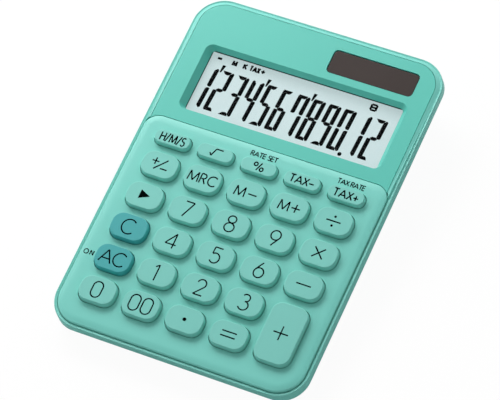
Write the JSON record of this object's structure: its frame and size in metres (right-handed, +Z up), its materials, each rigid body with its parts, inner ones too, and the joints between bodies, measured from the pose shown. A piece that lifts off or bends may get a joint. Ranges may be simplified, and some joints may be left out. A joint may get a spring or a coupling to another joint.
{
  "type": "desk calculator",
  "caption": "Desk calculator with a sloping face, sunken segment display, solar cell window, rounded press keys with one tall plus key, and a wedge-shaped rear cover.",
  "frame": {"origin": "on the desk, under the middle of the case", "axes": "+X to the right of the person using it, +Y to the back along the desk, +Z up"},
  "size_m": [0.105, 0.1491, 0.0228],
  "materials": {
    "case_plastic": "satin moulded teal",
    "panel_plastic": "satin moulded teal",
    "cover_plastic": "fine grained teal",
    "key_plastic": "satin moulded teal",
    "clear_key_plastic": "satin moulded deeper teal",
    "clear_plastic": "polished clear",
    "polarizer_film": "smooth pale grey film",
    "lcd_glass": "polished",
    "reflector_film": "dull silver film",
    "tray_plastic": "moulded dark grey",
    "ribbon_film": "amber film with printed tracks",
    "solar_glass": "dark tinted clear plastic",
    "foam_tape": "black foam tape",
    "solar_silicon": "dark brown glass with fine stripes",
    "red_insulation": "red insulated wire",
    "black_insulation": "black insulated wire",
    "key_rubber": "translucent grey silicone",
    "board_laminate": "brown laminate",
    "screw_steel": "zinc plated",
    "black_resin": "black potting resin",
    "capacitor_can": "blue sleeve on an aluminium can",
    "diode_glass": "amber glass body",
    "ceramic_chip": "fired ceramic",
    "cell_steel": "bright plated steel",
    "contact_metal": "plated spring strip",
    "foot_rubber": "soft grey rubber"
  },
  "bodies": {
    "case": {"front_case": "case_plastic", "display_panel": "panel_plastic", "display_lens": "clear_plastic", "lcd_polarizer": "polarizer_film", "lcd_front_glass": "lcd_glass", "lcd_rear_glass": "lcd_glass", "lcd_reflector": "reflector_film", "lcd_tray": "tray_plastic", "lcd_ribbon": "ribbon_film", "lcd_tray_screws": "screw_steel", "solar_window": "solar_glass", "solar_tape": "foam_tape", "solar_cell": "solar_silicon", "solar_lead_positive": "red_insulation", "solar_lead_negative": "black_insulation", "rubber_keypad": "key_rubber", "circuit_board": "board_laminate", "board_screws": "screw_steel", "chip_blob": "black_resin", "power_capacitor": "capacitor_can", "protection_diode": "diode_glass", "chip_capacitors": "ceramic_chip", "button_cell": "cell_steel", "battery_holder": "tray_plastic", "battery_contact_negative": "contact_metal", "battery_contact_positive": "contact_metal", "rear_cover": "cover_plastic", "rubber_feet": "foot_rubber", "case_screws": "screw_steel"},
    "key_time": {"key_time": "key_plastic"},
    "key_square_root": {"key_square_root": "key_plastic"},
    "key_percent": {"key_percent": "key_plastic"},
    "key_tax_minus": {"key_tax_minus": "key_plastic"},
    "key_tax_plus": {"key_tax_plus": "key_plastic"},
    "key_sign": {"key_sign": "key_plastic"},
    "key_memory_recall": {"key_memory_recall": "key_plastic"},
    "key_memory_minus": {"key_memory_minus": "key_plastic"},
    "key_memory_plus": {"key_memory_plus": "key_plastic"},
    "key_divide": {"key_divide": "key_plastic"},
    "key_backspace": {"key_backspace": "key_plastic"},
    "key_7": {"key_7": "key_plastic"},
    "key_8": {"key_8": "key_plastic"},
    "key_9": {"key_9": "key_plastic"},
    "key_multiply": {"key_multiply": "key_plastic"},
    "key_clear": {"key_clear": "clear_key_plastic"},
    "key_4": {"key_4": "key_plastic"},
    "key_5": {"key_5": "key_plastic"},
    "key_6": {"key_6": "key_plastic"},
    "key_minus": {"key_minus": "key_plastic"},
    "key_all_clear": {"key_all_clear": "clear_key_plastic"},
    "key_1": {"key_1": "key_plastic"},
    "key_2": {"key_2": "key_plastic"},
    "key_3": {"key_3": "key_plastic"},
    "key_plus": {"key_plus": "key_plastic"},
    "key_0": {"key_0": "key_plastic"},
    "key_00": {"key_00": "key_plastic"},
    "key_point": {"key_point": "key_plastic"},
    "key_equals": {"key_equals": "key_plastic"}
  },
  "joints": [
    {"name": "key_time_press", "type": "slide", "parent": "case", "child": "key_time", "axis": [0, -0.0924, 0.9957], "range_m": [-0.0012, 0], "stiffness_N_per_m": 400, "springref_m": 0.0005, "deforming": ["rubber_keypad"]},
    {"name": "key_square_root_press", "type": "slide", "parent": "case", "child": "key_square_root", "axis": [0, -0.0924, 0.9957], "range_m": [-0.0012, 0], "stiffness_N_per_m": 400, "springref_m": 0.0005, "deforming": ["rubber_keypad"]},
    {"name": "key_percent_press", "type": "slide", "parent": "case", "child": "key_percent", "axis": [0, -0.0924, 0.9957], "range_m": [-0.0012, 0], "stiffness_N_per_m": 400, "springref_m": 0.0005, "deforming": ["rubber_keypad"]},
    {"name": "key_tax_minus_press", "type": "slide", "parent": "case", "child": "key_tax_minus", "axis": [0, -0.0924, 0.9957], "range_m": [-0.0012, 0], "stiffness_N_per_m": 400, "springref_m": 0.0005, "deforming": ["rubber_keypad"]},
    {"name": "key_tax_plus_press", "type": "slide", "parent": "case", "child": "key_tax_plus", "axis": [0, -0.0924, 0.9957], "range_m": [-0.0012, 0], "stiffness_N_per_m": 400, "springref_m": 0.0005, "deforming": ["rubber_keypad"]},
    {"name": "key_sign_press", "type": "slide", "parent": "case", "child": "key_sign", "axis": [0, -0.0924, 0.9957], "range_m": [-0.0012, 0], "stiffness_N_per_m": 400, "springref_m": 0.0005, "deforming": ["rubber_keypad"]},
    {"name": "key_memory_recall_press", "type": "slide", "parent": "case", "child": "key_memory_recall", "axis": [0, -0.0924, 0.9957], "range_m": [-0.0012, 0], "stiffness_N_per_m": 400, "springref_m": 0.0005, "deforming": ["rubber_keypad"]},
    {"name": "key_memory_minus_press", "type": "slide", "parent": "case", "child": "key_memory_minus", "axis": [0, -0.0924, 0.9957], "range_m": [-0.0012, 0], "stiffness_N_per_m": 400, "springref_m": 0.0005, "deforming": ["rubber_keypad"]},
    {"name": "key_memory_plus_press", "type": "slide", "parent": "case", "child": "key_memory_plus", "axis": [0, -0.0924, 0.9957], "range_m": [-0.0012, 0], "stiffness_N_per_m": 400, "springref_m": 0.0005, "deforming": ["rubber_keypad"]},
    {"name": "key_divide_press", "type": "slide", "parent": "case", "child": "key_divide", "axis": [0, -0.0924, 0.9957], "range_m": [-0.0012, 0], "stiffness_N_per_m": 400, "springref_m": 0.0005, "deforming": ["rubber_keypad"]},
    {"name": "key_backspace_press", "type": "slide", "parent": "case", "child": "key_backspace", "axis": [0, -0.0924, 0.9957], "range_m": [-0.0012, 0], "stiffness_N_per_m": 400, "springref_m": 0.0005, "deforming": ["rubber_keypad"]},
    {"name": "key_7_press", "type": "slide", "parent": "case", "child": "key_7", "axis": [0, -0.0924, 0.9957], "range_m": [-0.0012, 0], "stiffness_N_per_m": 400, "springref_m": 0.0005, "deforming": ["rubber_keypad"]},
    {"name": "key_8_press", "type": "slide", "parent": "case", "child": "key_8", "axis": [0, -0.0924, 0.9957], "range_m": [-0.0012, 0], "stiffness_N_per_m": 400, "springref_m": 0.0005, "deforming": ["rubber_keypad"]},
    {"name": "key_9_press", "type": "slide", "parent": "case", "child": "key_9", "axis": [0, -0.0924, 0.9957], "range_m": [-0.0012, 0], "stiffness_N_per_m": 400, "springref_m": 0.0005, "deforming": ["rubber_keypad"]},
    {"name": "key_multiply_press", "type": "slide", "parent": "case", "child": "key_multiply", "axis": [0, -0.0924, 0.9957], "range_m": [-0.0012, 0], "stiffness_N_per_m": 400, "springref_m": 0.0005, "deforming": ["rubber_keypad"]},
    {"name": "key_clear_press", "type": "slide", "parent": "case", "child": "key_clear", "axis": [0, -0.0924, 0.9957], "range_m": [-0.0012, 0], "stiffness_N_per_m": 400, "springref_m": 0.0005, "deforming": ["rubber_keypad"]},
    {"name": "key_4_press", "type": "slide", "parent": "case", "child": "key_4", "axis": [0, -0.0924, 0.9957], "range_m": [-0.0012, 0], "stiffness_N_per_m": 400, "springref_m": 0.0005, "deforming": ["rubber_keypad"]},
    {"name": "key_5_press", "type": "slide", "parent": "case", "child": "key_5", "axis": [0, -0.0924, 0.9957], "range_m": [-0.0012, 0], "stiffness_N_per_m": 400, "springref_m": 0.0005, "deforming": ["rubber_keypad"]},
    {"name": "key_6_press", "type": "slide", "parent": "case", "child": "key_6", "axis": [0, -0.0924, 0.9957], "range_m": [-0.0012, 0], "stiffness_N_per_m": 400, "springref_m": 0.0005, "deforming": ["rubber_keypad"]},
    {"name": "key_minus_press", "type": "slide", "parent": "case", "child": "key_minus", "axis": [0, -0.0924, 0.9957], "range_m": [-0.0012, 0], "stiffness_N_per_m": 400, "springref_m": 0.0005, "deforming": ["rubber_keypad"]},
    {"name": "key_all_clear_press", "type": "slide", "parent": "case", "child": "key_all_clear", "axis": [0, -0.0924, 0.9957], "range_m": [-0.0012, 0], "stiffness_N_per_m": 400, "springref_m": 0.0005, "deforming": ["rubber_keypad"]},
    {"name": "key_1_press", "type": "slide", "parent": "case", "child": "key_1", "axis": [0, -0.0924, 0.9957], "range_m": [-0.0012, 0], "stiffness_N_per_m": 400, "springref_m": 0.0005, "deforming": ["rubber_keypad"]},
    {"name": "key_2_press", "type": "slide", "parent": "case", "child": "key_2", "axis": [0, -0.0924, 0.9957], "range_m": [-0.0012, 0], "stiffness_N_per_m": 400, "springref_m": 0.0005, "deforming": ["rubber_keypad"]},
    {"name": "key_3_press", "type": "slide", "parent": "case", "child": "key_3", "axis": [0, -0.0924, 0.9957], "range_m": [-0.0012, 0], "stiffness_N_per_m": 400, "springref_m": 0.0005, "deforming": ["rubber_keypad"]},
    {"name": "key_plus_press", "type": "slide", "parent": "case", "child": "key_plus", "axis": [0, -0.0924, 0.9957], "range_m": [-0.0012, 0], "stiffness_N_per_m": 400, "springref_m": 0.0005, "deforming": ["rubber_keypad"]},
    {"name": "key_0_press", "type": "slide", "parent": "case", "child": "key_0", "axis": [0, -0.0924, 0.9957], "range_m": [-0.0012, 0], "stiffness_N_per_m": 400, "springref_m": 0.0005, "deforming": ["rubber_keypad"]},
    {"name": "key_00_press", "type": "slide", "parent": "case", "child": "key_00", "axis": [0, -0.0924, 0.9957], "range_m": [-0.0012, 0], "stiffness_N_per_m": 400, "springref_m": 0.0005, "deforming": ["rubber_keypad"]},
    {"name": "key_point_press", "type": "slide", "parent": "case", "child": "key_point", "axis": [0, -0.0924, 0.9957], "range_m": [-0.0012, 0], "stiffness_N_per_m": 400, "springref_m": 0.0005, "deforming": ["rubber_keypad"]},
    {"name": "key_equals_press", "type": "slide", "parent": "case", "child": "key_equals", "axis": [0, -0.0924, 0.9957], "range_m": [-0.0012, 0], "stiffness_N_per_m": 400, "springref_m": 0.0005, "deforming": ["rubber_keypad"]}
  ]
}
